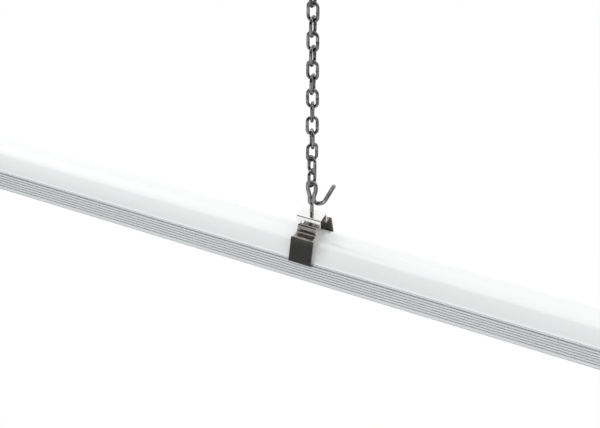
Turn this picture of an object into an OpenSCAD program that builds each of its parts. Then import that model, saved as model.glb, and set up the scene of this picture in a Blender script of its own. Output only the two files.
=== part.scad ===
// Hanging shop light: a linear light with an opal cover on a ribbed base,
// carried by two spring clips, two swivel hooks and two welded chains.
// Origin: on the ceiling, midway between the two ceiling hooks. +X runs along
// the light, +Z is up. All sizes are in millimetres.

/* [Light] */
// Overall length over the end caps
light_len = 1200; // [900:50:1500]
// Outer radius of the opal cover
cover_r = 15; // [14:0.5:17]
// Wall of the opal cover
cover_wall = 1.2; // [0.8:0.1:1.6]
// How far the cover is cut short of a full half round
cover_cut = 1.9; // [1.6:0.1:2.4]
// Thickness of the tongues that hold the cover in the base
tongue_t = 0.8; // [0.6:0.1:1]
// Depth of the base below the centre of the cover's curve
base_drop = 14.5; // [13.5:0.5:18]
// Wall of the base extrusion
base_wall = 1.3; // [1:0.1:1.6]
// Thickness of the deck that carries the light board
deck_t = 1.2; // [1:0.1:1.5]
// How far the deck lies below the centre of the cover's curve
deck_drop = 1.5; // [1.3:0.1:2]
// Number of ribs along each side of the base
rib_count = 5; // [3:1:5]
// Distance from one rib to the next
rib_pitch = 2.1; // [1.8:0.1:2.3]
// Height of one rib
rib_h = 1.1; // [0.7:0.1:1.4]
// Depth of the grooves between the ribs
rib_depth = 0.6; // [0.4:0.05:0.8]
// Radius of the lower edges of the base
base_edge_r = 1.6; // [0.8:0.1:1.9]

/* [End caps] */
// Thickness of the end caps
cap_t = 5; // [4:0.5:7]
// How far an end cap stands out round the section
cap_rim = 0.4; // [0.2:0.1:1]
// Length of the plug that an end cap pushes into the cover
plug_len = 4; // [2:0.5:8]
// Wall of that plug
plug_wall = 1.2; // [0.8:0.1:2]
// Radius of the end cap screws
cap_screw_r = 1.4; // [1.2:0.05:1.5]
// Length of the end cap screws under the head
cap_screw_len = 14; // [9:1:20]
// Radius of their heads
cap_head_r = 2.5; // [2.2:0.1:2.8]
// Height of their heads
cap_head_h = 1.8; // [1.2:0.1:2.4]
// Wall round the screw channels of the base
channel_wall = 1.1; // [0.8:0.1:1.3]

/* [Inlet] */
// Width of the inlet socket
inlet_w = 12.4; // [11:0.2:13]
// Height of the inlet socket
inlet_h = 7.6; // [7:0.1:8]
// Depth of the inlet housing
inlet_depth = 13; // [11:0.5:18]
// Wall of the inlet housing
inlet_wall = 1; // [0.8:0.1:1.2]
// Radius of the contact pins
contact_r = 0.8; // [0.6:0.05:0.9]
// Number of contact pins
contact_count = 3; // [2:1:3]
// Distance from one contact pin to the next
contact_pitch = 3.6; // [3:0.1:3.8]
// How far the pins stand up in the socket
contact_len = 5.5; // [4:0.5:7]
// How far the pins stand out behind the housing
contact_tail = 4; // [3:0.5:6]

/* [Light board] */
// Width of the light board
board_w = 20; // [16:0.5:21]
// Thickness of the light board
board_t = 1; // [0.8:0.1:1.6]
// Number of light emitters
led_count = 96; // [48:4:120]
// Length of an emitter
led_l = 3.5; // [2.8:0.1:5]
// Width of an emitter
led_w = 2.8; // [2:0.1:5]
// Height of an emitter
led_h = 0.7; // [0.5:0.1:1.2]

/* [Driver] */
// Length of the driver board
driver_len = 210; // [180:5:260]
// Width of the driver board
driver_w = 16; // [15:0.5:16.5]
// Thickness of the driver board
driver_t = 1.2; // [1:0.1:1.6]
// Wall of the insulating tray under the driver
tray_wall = 0.8; // [0.6:0.1:1]
// Height of the ledges in the tray
tray_ledge_h = 0.9; // [0.6:0.1:1.2]
// Distance from the inlet's pins to the driver
driver_gap = 26; // [20:1:40]
// Length of the transformer
transformer_l = 18; // [14:0.5:24]
// Width of the transformer
transformer_w = 13; // [10:0.5:14]
// Height of the transformer
transformer_h = 5.4; // [4:0.2:6]
// Radius of the capacitors
capacitor_r = 2.5; // [2:0.1:2.8]
// Length of the capacitors
capacitor_l = 14; // [10:1:18]
// Radius of the choke
choke_r = 5; // [4:0.25:6]
// Height of the choke
choke_h = 5; // [4:0.25:5.5]
// Length of a terminal block
terminal_l = 9; // [7:0.5:12]
// Width of a terminal block
terminal_w = 12; // [11:0.5:14]
// Height of a terminal block
terminal_h = 4.8; // [4.4:0.1:5.4]
// Radius of the leads
lead_r = 0.7; // [0.5:0.05:0.9]
// Distance between the two output leads
lead_gap = 7; // [6.5:0.1:9]

/* [Spring clip] */
// Distance between the two suspensions
span = 600; // [400:50:800]
// Thickness of the clip's sheet
clip_t = 0.8; // [0.6:0.1:0.9]
// Height of the hanger plate's top over the cover
clip_rise = 14.5; // [13.5:0.5:20]
// Width of the neck under the hanger plate
neck_w = 7.4; // [6.8:0.2:9]
// Half length of the neck, out to the webs
web_y = 7; // [6.6:0.1:7.4]
// How far a web leans outwards on its way down
web_lean = 1; // [0.6:0.1:1.4]
// Width of the webs and shoulders
shoulder_w = 12.9; // [11.5:0.1:14]
// How far the bend over the legs lies inside the cover's edge
shoulder_in = 0.8; // [0:0.1:1.6]
// How far the shoulders lie below the neck
shoulder_drop = 5.4; // [4.4:0.1:6]
// Corner radius of the shoulders
shoulder_r = 2.4; // [1.5:0.1:3]
// Width of the legs
leg_w = 15.4; // [14.5:0.1:18]
// How far the lower edge of the legs stands out past the cover's edge
leg_out = 3.6; // [3:0.1:4.6]
// Height of the legs' lower edge over their feet
leg_lift = 2.2; // [1.8:0.1:2.8]
// Length of the feet's flat
foot_l = 1.7; // [1.6:0.1:2.2]
// Bend radius of the clip's sheet
bend_r = 1.3; // [1:0.1:1.6]
// Height of the slot over each leg
slot_h = 1.2; // [0.8:0.1:1.6]
// Length of the slot over each leg
slot_l = 5.5; // [4:0.5:7]
// How far the slot lies off the middle
slot_off = 2.6; // [0:0.1:2.8]

/* [Hanger plate] */
// Length of the plate along the light
plate_l = 16.2; // [15:0.1:18]
// Width of the plate across the light
plate_w = 10.2; // [9.8:0.1:11]
// Thickness of the plate
plate_t = 0.8; // [0.6:0.1:1]
// Depth of the plate's front and rear lips
lip_drop = 6.2; // [5.6:0.1:6.6]
// Depth of the lip over its window
lip_band = 3.2; // [2.6:0.1:3.4]
// Length of the window that the neck passes
window_l = 10; // [9.6:0.1:11]
// Outer radius of the spacer collar
spacer_r = 2.8; // [2.4:0.1:3]
// Height of the spacer collar between plate and neck
spacer_h = 4.2; // [4:0.1:5]

/* [Swivel hook] */
// Diameter of the hook's wire
hook_wire_d = 2.7; // [2.5:0.1:2.8]
// Height of the straight shank over the plate
shank_h = 6.8; // [6:0.1:7]
// Distance between the eye's legs where they lie side by side
waist_w = 2.84; // [2.84:0.02:3.4]
// Height of the lower end of that waist
waist_low = 9.4; // [9.2:0.1:10]
// Height of its upper end
waist_top = 13.8; // [13:0.1:14.4]
// Distance between the eye's legs where it is widest
eye_w = 5.4; // [5.4:0.1:6]
// Height from which the eye is that wide
eye_low = 18.8; // [18:0.1:19.2]
// Height of the eye's top over the plate, outside
eye_top = 26; // [25.6:0.1:28]
// Bend radius where the eye narrows
eye_bend_r = 2.4; // [2:0.1:2.6]
// Height of the turn at the foot of the free tail
tail_turn_z = 11.6; // [11:0.1:12]
// Radius of that turn
tail_turn_r = 2.2; // [1.8:0.1:2.4]
// Slope of the tail where it leaves the turn
tail_slope_low = 10; // [5:1:20]
// Radius of the tail's easy curve
tail_curve_r = 7; // [6:0.5:9]
// Slope of the tail at its free end
tail_slope_high = 66; // [60:1:70]
// Length of the straight free end
tail_len = 14.2; // [10:0.2:16]
// Radius of the formed head under the neck
head_r = 2.7; // [2.3:0.1:3]
// Height of the formed head
head_h = 1.3; // [1:0.1:2]

/* [Chain] */
// Number of links in each chain
link_count = 14; // [10:2:20]
// Diameter of the link's wire
link_wire_d = 2; // [1.9:0.05:2.1]
// Outer width of a link
link_w = 8; // [8:0.1:9]
// Inner length of a link
link_inner = 10; // [9.5:0.25:13]
// Turn of the lowest link about the chain
chain_twist = 78; // [70:1:90]

/* [Ceiling hooks] */
// Diameter of the ceiling hook's wire
ceiling_wire_d = 3; // [2.6:0.1:3.2]
// Middle radius of the ceiling hook's loop
loop_r = 7.5; // [7:0.25:10]
// Length of the straight neck under the collar
loop_neck = 6; // [4:0.5:12]
// Length of the upright tip
tip_len = 3; // [1:0.5:5]
// Radius of the collar on the ceiling
collar_r = 4.5; // [3.5:0.1:7]
// Thickness of the collar
collar_h = 1.5; // [1:0.1:3]
// Radius of the screw in the ceiling
screw_r = 1.9; // [1.6:0.05:2.4]
// Length of the screw
screw_len = 18; // [12:1:30]
// Length of the screw's point
screw_point = 3; // [2:0.5:4]

/* [Fits] */
// Gap where one link or hook hangs in another
link_play = 0.25; // [0.15:0.05:0.35]
// Radial gap round the swivelling shank
swivel_clear = 0.05; // [0.03:0.01:0.08]
// Gap between the hook's head and the neck
head_clear = 0.2; // [0.1:0.05:0.3]
// Gap round the clip's feet in the base's grooves
foot_clear = 0.2; // [0.15:0.05:0.3]
// Gap between parts that are pushed together by hand
push_clear = 0.1; // [0.05:0.05:0.2]
// Gap round pieces that are laid in place
lay_clear = 0.2; // [0.1:0.05:0.4]

/* [Hidden] */
$fn = 48;
cut = 0.5;
SIDES = ["left", "right"];
MID = (len(SIDES) - 1) / 2;
function side_x(i) = (i - MID) * span;
function link_name(i, k) = str("link_", SIDES[i], "_", k);

// heights from the ceiling down
loop_z = -collar_h - loop_neck - loop_r;
link_end = (link_inner + link_wire_d) / 2;
top_link_z = loop_z - loop_r + (ceiling_wire_d + link_wire_d) / 2 + link_play - link_end;
link_pitch = link_inner - link_play;
low_link_z = top_link_z - (link_count - 1) * link_pitch;
eye_mid_top = low_link_z - link_end + (link_wire_d + hook_wire_d) / 2 + link_play;
plate_z = eye_mid_top + hook_wire_d / 2 - eye_top;
centre_z = plate_z - clip_rise - cover_r;

// section of the light, measured from the centre of the cover's curve
base_stand = 0.15;
half_w = cover_r + base_stand;
lip_h = 0.8;
// a foot lies in its groove with one gap over it and two under it
groove_h = foot_clear + clip_t + 2 * foot_clear;
groove_depth = 1.15;
groove_y = half_w - groove_depth;
groove_wall = 1;
ribs_top = cover_cut - lip_h - groove_h;
channel_r = cap_screw_r + swivel_clear;
cavity_y = half_w - rib_depth - base_wall;
cavity_top = -deck_drop - deck_t;
cavity_floor = -base_drop + base_wall;
tongue_y = groove_y - groove_wall;
tongue_gap = 0.3;
tongue_low = tongue_gap - deck_drop;
fin_t = 0.8;
fin_short = 1;
fin_y = tongue_y - tongue_t - 2 * push_clear;
fin_top = cover_cut - fin_short;
channel_inset = 0.1;
channel_lift = 0.3;
channel_y = cavity_y - channel_r - channel_inset;
channel_z = cavity_floor + channel_r + channel_lift;
base_len = light_len - 2 * cap_t;
base_x = base_len / 2;

// driver, from the inlet end
inlet_z = (cavity_top + cavity_floor) / 2;
inlet_back = -light_len / 2 + inlet_depth;
driver_x = inlet_back + contact_tail + driver_gap;
tray_w = driver_w + 2 * (tray_wall + push_clear);
board_low = cavity_floor + tray_wall + tray_ledge_h;
board_high = board_low + driver_t;
output_x = driver_x + driver_len - terminal_l;
led_z = -deck_drop + board_t;
board_len = base_len - 2 * (plug_len + lay_clear);
lead_room = 0.6;
lead_hole_r = lead_gap / 2 + lead_r + lead_room;
// places along the driver board, as shares of its length
choke_at = 0.18;
capacitors_at = [0.3, 0.45];
transformer_at = 0.62;

// clip, measured from the hanger plate's top
neck_z = -plate_t - spacer_h;
foot_top = -clip_rise - cover_r + cover_cut - lip_h - foot_clear;
foot_low = foot_top - clip_t;
foot_tip_y = groove_y + foot_clear;
foot_y = foot_tip_y + foot_l;
shoulder_y = cover_r - shoulder_in;
leg_y = cover_r + leg_out;
shank_hole_r = hook_wire_d / 2 + swivel_clear;

// ---- helpers ----

// a straight length of wire between two points [x, z]
module wire_line(a, b, d) {
    v = b - a;
    translate([a[0], 0, a[1]])
        rotate([0, atan2(v[0], v[1]), 0])
            cylinder(d = d, h = norm(v));
}

// a bend of wire in the XZ plane round the point c, from angle a0 over the angle da
module wire_arc(c, r, a0, da, d) {
    translate([c[0], 0, c[1]])
        rotate([90, 0, 0])
            rotate([0, 0, a0])
                rotate_extrude(angle = da, $fn = 96)
                    translate([r, 0])
                        circle(d = d, $fn = 32);
}

// points along an arc round c, from angle a0 over the angle da
function arc_points(c, r, a0, da, n) = [for (i = [0:n]) c + r * [cos(a0 + da * i / n), sin(a0 + da * i / n)]];

// a wire of radius r swept along points [x, z]
module swept_wire(p, r, sides = 24) {
    last = len(p) - 1;
    rings = [for (i = [0:last])
        let (t = p[min(i + 1, last)] - p[max(i - 1, 0)])
        let (n = right_of(t))
        for (k = [0:sides - 1])
            let (a = 360 * k / sides)
            [p[i][0] + r * cos(a) * n[0], r * sin(a), p[i][1] + r * cos(a) * n[1]]];
    walls = [for (i = [0:last - 1]) for (k = [0:sides - 1])
        let (a = i * sides + k)
        let (b = i * sides + (k + 1) % sides)
        each [[a, b + sides, b], [a, a + sides, b + sides]]];
    ends = [
        [for (k = [0:sides - 1]) k],
        [for (k = [sides - 1:-1:0]) last * sides + k]];
    polyhedron(points = rings, faces = concat(walls, ends));
}

// a path with each inner corner replaced by an arc of radius r
function corner_arc(p, c, q, r, n = 5) =
    let (u = (p - c) / norm(p - c))
    let (v = (q - c) / norm(q - c))
    let (half = acos(u * v) / 2)
    let (m = c + (u + v) / norm(u + v) * r / sin(half))
    let (a = c + u * r / tan(half) - m)
    let (b = c + v * r / tan(half) - m)
    let (turn = atan2(a[0] * b[1] - a[1] * b[0], a * b))
    [for (i = [0:n]) m + [
        a[0] * cos(turn * i / n) - a[1] * sin(turn * i / n),
        a[0] * sin(turn * i / n) + a[1] * cos(turn * i / n)]];
function smooth_path(p, r) = concat(
    [p[0]],
    [for (i = [1:len(p) - 2]) each corner_arc(p[i - 1], p[i], p[i + 1], r)],
    [p[len(p) - 1]]);

// the normal on the right of a path at point i, made longer on a mitre
function right_of(v) = [v[1], -v[0]] / norm(v);
function mitre(p, i) =
    i == 0 ? right_of(p[1] - p[0])
    : i == len(p) - 1 ? right_of(p[i] - p[i - 1])
    : let (a = right_of(p[i] - p[i - 1]))
      let (b = right_of(p[i + 1] - p[i]))
      (a + b) / (1 + a * b);
function sheet_outline(p, t) = concat(
    p,
    [for (i = [len(p) - 1:-1:0]) p[i] + mitre(p, i) * t]);

module rounded_box_2d(w, z0, z1, r) {
    translate([-w / 2 + r, z0])
        square([w - 2 * r, z1 - z0]);
    translate([-w / 2, z0 + r])
        square([w, z1 - z0 - r]);
    for (s = [-1, 1])
        translate([s * (w / 2 - r), z0 + r])
            circle(r = r);
}

// lays a section drawn as [y, z] along X, between x0 and x1
module along(x0, x1) {
    translate([x0, 0, 0])
        rotate([90, 0, 90])
            linear_extrude(height = x1 - x0)
                children();
}

module in_light() {
    translate([0, 0, centre_z])
        children();
}

module at_side(i) {
    translate([side_x(i), 0, 0])
        children();
}

// ---- light ----

// one side of the base's section, from the deck up the wall and down over the ribs
function rib_points(n) = [
    for (i = [0:n - 1]) each [
        [half_w, ribs_top - i * rib_pitch],
        [half_w, ribs_top - i * rib_pitch - rib_h],
        [half_w - rib_depth, ribs_top - i * rib_pitch - rib_h],
        [half_w - rib_depth, ribs_top - (i + 1) * rib_pitch]]];
function base_side() = concat(
    [[fin_y - fin_t, -deck_drop], [fin_y - fin_t, fin_top], [fin_y, fin_top], [fin_y, -deck_drop]],
    [[tongue_y, -deck_drop], [tongue_y, cover_cut], [half_w, cover_cut]],
    [[half_w, cover_cut - lip_h], [groove_y, cover_cut - lip_h], [groove_y, ribs_top]],
    rib_points(rib_count),
    [[half_w, ribs_top - rib_count * rib_pitch]],
    arc_points([half_w - base_edge_r, -base_drop + base_edge_r], base_edge_r, 0, -90, 8));
function both_sides(p) = concat(p, [for (i = [len(p) - 1:-1:0]) [-p[i][0], p[i][1]]]);

module base_section_2d() {
    difference() {
        polygon(both_sides(base_side()));
        difference() {
            translate([-cavity_y, cavity_floor])
                square([2 * cavity_y, cavity_top - cavity_floor]);
            // screw channels in the lower corners
            for (s = [-1, 1])
                translate([s * channel_y, channel_z])
                    circle(r = channel_r + channel_wall);
        }
        for (s = [-1, 1])
            translate([s * channel_y, channel_z])
                circle(r = channel_r);
    }
}

module base_extrusion() {
    color([0.80, 0.81, 0.82])
        in_light()
            difference() {
                along(-base_x, base_x)
                    base_section_2d();
                translate([output_x + terminal_l / 2, 0, cavity_top - cut])
                    cylinder(r = lead_hole_r, h = deck_t + 2 * cut);
            }
}

module diffuser_cover() {
    color([0.95, 0.95, 0.94])
        in_light()
            along(-base_x, base_x) {
                difference() {
                    circle(r = cover_r, $fn = 128);
                    circle(r = cover_r - cover_wall, $fn = 128);
                    translate([-cover_r - cut, -cover_r - cut])
                        square([2 * (cover_r + cut), cover_r + cut + cover_cut]);
                }
                edge_y = sqrt(pow(cover_r, 2) - pow(cover_cut, 2));
                for (s = [0, 1])
                    mirror([s, 0]) {
                        translate([tongue_y - push_clear - tongue_t, tongue_low])
                            square([tongue_t, cover_cut - tongue_low + cover_wall]);
                        translate([tongue_y - push_clear - tongue_t, cover_cut])
                            square([edge_y - tongue_y + push_clear + tongue_t - cover_wall / 4, cover_wall]);
                    }
            }
}

module led_board() {
    color([0.93, 0.94, 0.92])
        in_light()
            difference() {
                translate([-board_len / 2, -board_w / 2, -deck_drop])
                    cube([board_len, board_w, board_t]);
                for (s = [-1, 1])
                    translate([output_x + terminal_l / 2, s * lead_gap / 2, -deck_drop - cut])
                        cylinder(r = lead_r + swivel_clear, h = board_t + 2 * cut);
            }
}

module led_emitters() {
    pitch = board_len / led_count;
    color([0.95, 0.85, 0.45])
        in_light()
            for (i = [0:led_count - 1])
                translate([-board_len / 2 + (i + 0.5) * pitch - led_l / 2, -led_w / 2, led_z])
                    cube([led_l, led_w, led_h]);
}

// ---- end caps ----

module cap_outline_2d() {
    circle(r = cover_r + cap_rim, $fn = 128);
    rounded_box_2d(2 * (half_w + cap_rim), -base_drop - cap_rim, 0, base_edge_r + cap_rim);
}

module cap_plug_2d() {
    difference() {
        circle(r = cover_r - cover_wall - push_clear, $fn = 128);
        circle(r = cover_r - cover_wall - push_clear - plug_wall, $fn = 128);
        translate([-cover_r, -cover_r])
            square([2 * cover_r, cover_r + cover_cut + cover_wall + push_clear]);
    }
}

// drawn for the end at +X
module end_cap_shape() {
    difference() {
        union() {
            along(base_x, base_x + cap_t)
                cap_outline_2d();
            along(base_x - plug_len, base_x + cut)
                cap_plug_2d();
        }
        for (s = [-1, 1])
            translate([base_x - cut, s * channel_y, channel_z])
                rotate([0, 90, 0]) {
                    cylinder(r = cap_screw_r + lay_clear, h = cap_t + 2 * cut);
                    translate([0, 0, cap_t + cut - cap_head_h])
                        cylinder(r = cap_head_r + lay_clear, h = cap_head_h + cut);
                }
    }
}

module end_cap_right() {
    color([0.90, 0.90, 0.89])
        in_light()
            end_cap_shape();
}

module end_cap_left() {
    hole_w = inlet_w + 2 * push_clear;
    hole_h = inlet_h + 2 * push_clear;
    color([0.90, 0.90, 0.89])
        in_light()
            difference() {
                mirror([1, 0, 0])
                    end_cap_shape();
                translate([-light_len / 2 - cut, -hole_w / 2, inlet_z - hole_h / 2])
                    cube([cap_t + 2 * cut, hole_w, hole_h]);
            }
}

module cap_screws(i) {
    color([0.72, 0.73, 0.74])
        in_light()
            mirror([1 - i, 0, 0])
                for (s = [-1, 1])
                    translate([light_len / 2 - cap_head_h, s * channel_y, channel_z])
                        rotate([0, 90, 0]) {
                            cylinder(r = cap_head_r, h = cap_head_h);
                            translate([0, 0, -cap_screw_len])
                                cylinder(r = cap_screw_r, h = cap_screw_len);
                        }
}

// ---- inlet ----

module inlet_housing() {
    inner_w = inlet_w - 2 * inlet_wall;
    inner_h = inlet_h - 2 * inlet_wall;
    color([0.88, 0.88, 0.87])
        in_light()
            difference() {
                translate([-light_len / 2, -inlet_w / 2, inlet_z - inlet_h / 2])
                    cube([inlet_depth, inlet_w, inlet_h]);
                translate([-light_len / 2 - cut, -inner_w / 2, inlet_z - inner_h / 2])
                    cube([inlet_depth - inlet_wall + cut, inner_w, inner_h]);
                contact_places()
                    cylinder(r = contact_r + swivel_clear, h = inlet_depth);
            }
}

// the pins' places, with +Z turned towards +X at the housing's middle
module contact_places() {
    for (k = [0:contact_count - 1])
        translate([inlet_back - inlet_depth / 2, (k - (contact_count - 1) / 2) * contact_pitch, inlet_z])
            rotate([0, 90, 0])
                children();
}

module inlet_contacts() {
    color([0.82, 0.68, 0.38])
        in_light()
            contact_places()
                translate([0, 0, inlet_depth / 2 - inlet_wall - contact_len])
                    cylinder(r = contact_r, h = contact_len + inlet_wall + contact_tail);
}

// ---- driver ----

module driver_tray() {
    ledge_w = 1.6;
    tray_len = driver_len + 2 * (tray_wall + push_clear);
    x0 = driver_x - tray_wall - push_clear;
    color([0.93, 0.93, 0.90])
        in_light() {
            translate([x0, -tray_w / 2, cavity_floor])
                cube([tray_len, tray_w, tray_wall]);
            for (s = [0, 1])
                mirror([0, s, 0]) {
                    translate([x0, tray_w / 2 - tray_wall, cavity_floor])
                        cube([tray_len, tray_wall, tray_wall + tray_ledge_h + driver_t]);
                    translate([x0, tray_w / 2 - tray_wall - ledge_w, cavity_floor])
                        cube([tray_len, ledge_w, tray_wall + tray_ledge_h]);
                }
        }
}

module driver_board() {
    color([0.16, 0.42, 0.24])
        in_light()
            translate([driver_x, -driver_w / 2, board_low])
                cube([driver_len, driver_w, driver_t]);
}

module driver_transformer() {
    core_l = transformer_l * 0.6;
    coil_w = transformer_w * 0.6;
    coil_h = transformer_h * 0.8;
    color([0.22, 0.21, 0.20])
        in_light()
            translate([driver_x + driver_len * transformer_at, 0, board_high]) {
                translate([-core_l / 2, -transformer_w / 2, 0])
                    cube([core_l, transformer_w, transformer_h]);
                translate([-transformer_l / 2, -coil_w / 2, 0])
                    cube([transformer_l, coil_w, coil_h]);
            }
}

module driver_capacitors() {
    color([0.12, 0.13, 0.16])
        in_light()
            for (at = capacitors_at)
                translate([driver_x + driver_len * at, 0, board_high + capacitor_r])
                    rotate([0, 90, 0])
                        cylinder(r = capacitor_r, h = capacitor_l);
}

module driver_choke() {
    choke_hole_r = choke_r * 0.4;
    color([0.62, 0.36, 0.18])
        in_light()
            translate([driver_x + driver_len * choke_at, 0, board_high])
                difference() {
                    cylinder(r = choke_r, h = choke_h);
                    translate([0, 0, -cut])
                        cylinder(r = choke_hole_r, h = choke_h + 2 * cut);
                }
}

module driver_terminals() {
    color([0.90, 0.90, 0.88])
        in_light()
            for (x = [driver_x, output_x])
                translate([x, -terminal_w / 2, board_high])
                    cube([terminal_l, terminal_w, terminal_h]);
}

module input_leads() {
    color([0.75, 0.74, 0.70])
        in_light()
            contact_places()
                translate([0, 0, inlet_depth / 2 + contact_tail])
                    cylinder(r = lead_r, h = driver_gap);
}

module output_leads() {
    color([0.75, 0.74, 0.70])
        in_light()
            for (s = [-1, 1])
                translate([output_x + terminal_l / 2, s * lead_gap / 2, board_high + terminal_h])
                    cylinder(r = lead_r, h = led_z - board_high - terminal_h);
}

// ---- spring clip and hanger plate ----

function clip_half() = [
    [web_y, neck_z],
    [web_y + web_lean, neck_z - shoulder_drop],
    [shoulder_y, neck_z - shoulder_drop],
    [leg_y, foot_low + leg_lift],
    [foot_y, foot_low],
    [foot_tip_y, foot_low]];
function clip_path() = concat(
    [for (i = [len(clip_half()) - 1:-1:0]) [-clip_half()[i][0], clip_half()[i][1]]],
    clip_half());

module clip_plan_2d() {
    shoulder_gap = 0.5;
    shoulder_y0 = plate_w / 2 + shoulder_gap;
    square([neck_w, 2 * shoulder_y], center = true);
    for (s = [0, 1])
        mirror([0, s]) {
            for (t = [-1, 1])
                translate([t * (shoulder_w / 2 - shoulder_r), shoulder_y0 + shoulder_r])
                    circle(r = shoulder_r);
            translate([-shoulder_w / 2 + shoulder_r, shoulder_y0])
                square([shoulder_w - 2 * shoulder_r, shoulder_y - shoulder_y0]);
            translate([-shoulder_w / 2, shoulder_y0 + shoulder_r])
                square([shoulder_w, shoulder_y - shoulder_y0 - shoulder_r]);
            translate([-leg_w / 2, shoulder_y - clip_t / 2])
                square([leg_w, leg_y - shoulder_y + 2 * clip_t]);
        }
}

module spring_clip(i) {
    slot_y = shoulder_y - bend_r - slot_h / 2;
    color([0.62, 0.60, 0.58])
        at_side(i)
            translate([0, 0, plate_z])
                difference() {
                    intersection() {
                        along(-leg_w / 2, leg_w / 2)
                            polygon(sheet_outline(smooth_path(clip_path(), bend_r), clip_t));
                        translate([0, 0, foot_low - cut])
                            linear_extrude(height = -foot_low + cut)
                                clip_plan_2d();
                    }
                    translate([0, 0, neck_z - clip_t - cut])
                        cylinder(r = shank_hole_r, h = clip_t + 2 * cut);
                    for (a = [0, 180])
                        rotate([0, 0, a])
                            translate([slot_off - slot_l / 2, -slot_y - slot_h / 2, foot_low / 2])
                                cube([slot_l, slot_h, -foot_low / 2]);
                }
}

module hanger_plate(i) {
    color([0.78, 0.77, 0.75])
        at_side(i)
            translate([0, 0, plate_z])
                difference() {
                    translate([-plate_l / 2, -plate_w / 2, -lip_drop])
                        cube([plate_l, plate_w, lip_drop]);
                    translate([-plate_l / 2 - cut, -plate_w / 2 + plate_t, -lip_drop - cut])
                        cube([plate_l + 2 * cut, plate_w - 2 * plate_t, lip_drop + cut - plate_t]);
                    translate([-window_l / 2, -plate_w / 2 - cut, -lip_drop - cut])
                        cube([window_l, plate_w + 2 * cut, lip_drop + cut - lip_band]);
                    translate([0, 0, -plate_t - cut])
                        cylinder(r = shank_hole_r, h = plate_t + 2 * cut);
                }
}

module spacer_collar(i) {
    color([0.70, 0.69, 0.67])
        at_side(i)
            translate([0, 0, plate_z + neck_z])
                difference() {
                    cylinder(r = spacer_r, h = spacer_h);
                    translate([0, 0, -cut])
                        cylinder(r = shank_hole_r, h = spacer_h + 2 * cut);
                }
}

// ---- swivel hook ----

function tail(p) = [p[len(p) - 1]];
function rest(p) = [for (i = [1:len(p) - 1]) p[i]];
function cut_end(p) = [for (i = [0:len(p) - 2]) p[i]];
// the eye's corners from the shank up
function eye_rise() = [
    [0, shank_h - eye_bend_r],
    [0, shank_h],
    [-waist_w / 2, waist_low],
    [-waist_w / 2, waist_top],
    [-eye_w / 2, eye_low]];
function hook_path() =
    let (side = eye_w / 2)
    let (arch = arc_points([0, eye_top - hook_wire_d / 2 - side], side, 180, -180, 18))
    let (eye_fall = [[side, eye_low], [waist_w / 2, waist_top]])
    let (turn_c = [waist_w / 2 + tail_turn_r, tail_turn_z])
    let (turn = arc_points(turn_c, tail_turn_r, 180, 90 + tail_slope_low, 12))
    let (curve_c = tail(turn)[0] + tail_curve_r * [-sin(tail_slope_low), cos(tail_slope_low)])
    let (slopes = tail_slope_high - tail_slope_low)
    let (curve = arc_points(curve_c, tail_curve_r, tail_slope_low - 90, slopes, 10))
    concat(
        cut_end(smooth_path(concat(eye_rise(), [arch[0]]), eye_bend_r)),
        arch,
        rest(cut_end(smooth_path(concat(tail(arch), eye_fall, [turn[0]]), eye_bend_r))),
        turn,
        rest(curve),
        [tail(curve)[0] + tail_len * [cos(tail_slope_high), sin(tail_slope_high)]]);

module swivel_hook(i) {
    head_top = neck_z - clip_t - head_clear;
    // the bent wire starts inside the shank and is a little thinner
    bent_r = hook_wire_d / 2 - 0.02;
    color([0.45, 0.45, 0.46])
        at_side(i)
            translate([0, 0, plate_z]) {
                translate([0, 0, head_top - head_h])
                    cylinder(r = head_r, h = head_h);
                translate([0, 0, head_top - head_h / 2])
                    cylinder(d = hook_wire_d, h = shank_h - head_top + head_h / 2);
                swept_wire(hook_path(), bent_r);
            }
}

// ---- chain and ceiling hooks ----

// turn of link k about the chain: square to its neighbours, with a twist that fades upwards
function link_yaw(k) = (k % 2 == 1 ? 0 : 90)
    + chain_twist * pow((link_count - k) / (link_count - 1), 3);

module chain_link(i, k) {
    side = (link_w - link_wire_d) / 2;
    straight = link_end - side;
    color([0.42, 0.42, 0.43])
        at_side(i)
            translate([0, 0, low_link_z + (k - 1) * link_pitch])
                rotate([0, 0, link_yaw(k)]) {
                    for (s = [-1, 1])
                        wire_line([s * side, -straight], [s * side, straight], link_wire_d);
                    wire_arc([0, straight], side, 0, 180, link_wire_d);
                    wire_arc([0, -straight], side, 180, 180, link_wire_d);
                }
}

module ceiling_hook(i) {
    d = ceiling_wire_d;
    neck_low = -collar_h - loop_neck;
    color([0.62, 0.62, 0.62])
        at_side(i) {
            cylinder(r = screw_r, h = screw_len - screw_point);
            translate([0, 0, screw_len - screw_point])
                cylinder(r1 = screw_r, r2 = screw_r / 6, h = screw_point);
            translate([0, 0, -collar_h])
                cylinder(r = collar_r, h = collar_h);
            wire_line([0, neck_low], [0, -collar_h / 2], d);
            wire_arc([-loop_r / 2, neck_low], loop_r / 2, -90, 90, d);
            wire_arc([-loop_r / 2, loop_z], loop_r / 2, 90, 90, d);
            wire_arc([0, loop_z], loop_r, 180, 180, d);
            wire_line([loop_r, loop_z], [loop_r, loop_z + tip_len], d);
            translate([loop_r, 0, loop_z + tip_len])
                sphere(d = d);
        }
}

// ---- output ----

base_extrusion();
diffuser_cover();
led_board();
led_emitters();
driver_tray();
driver_board();
driver_transformer();
driver_capacitors();
driver_choke();
driver_terminals();
input_leads();
output_leads();
inlet_housing();
inlet_contacts();
end_cap_left();
end_cap_right();
for (i = [0:len(SIDES) - 1]) {
    cap_screws(i);
    spring_clip(i);
    hanger_plate(i);
    spacer_collar(i);
    swivel_hook(i);
    ceiling_hook(i);
    for (k = [1:link_count])
        chain_link(i, k);
}
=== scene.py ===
import math

import bmesh
import bpy
from mathutils import Matrix, Vector


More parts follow.
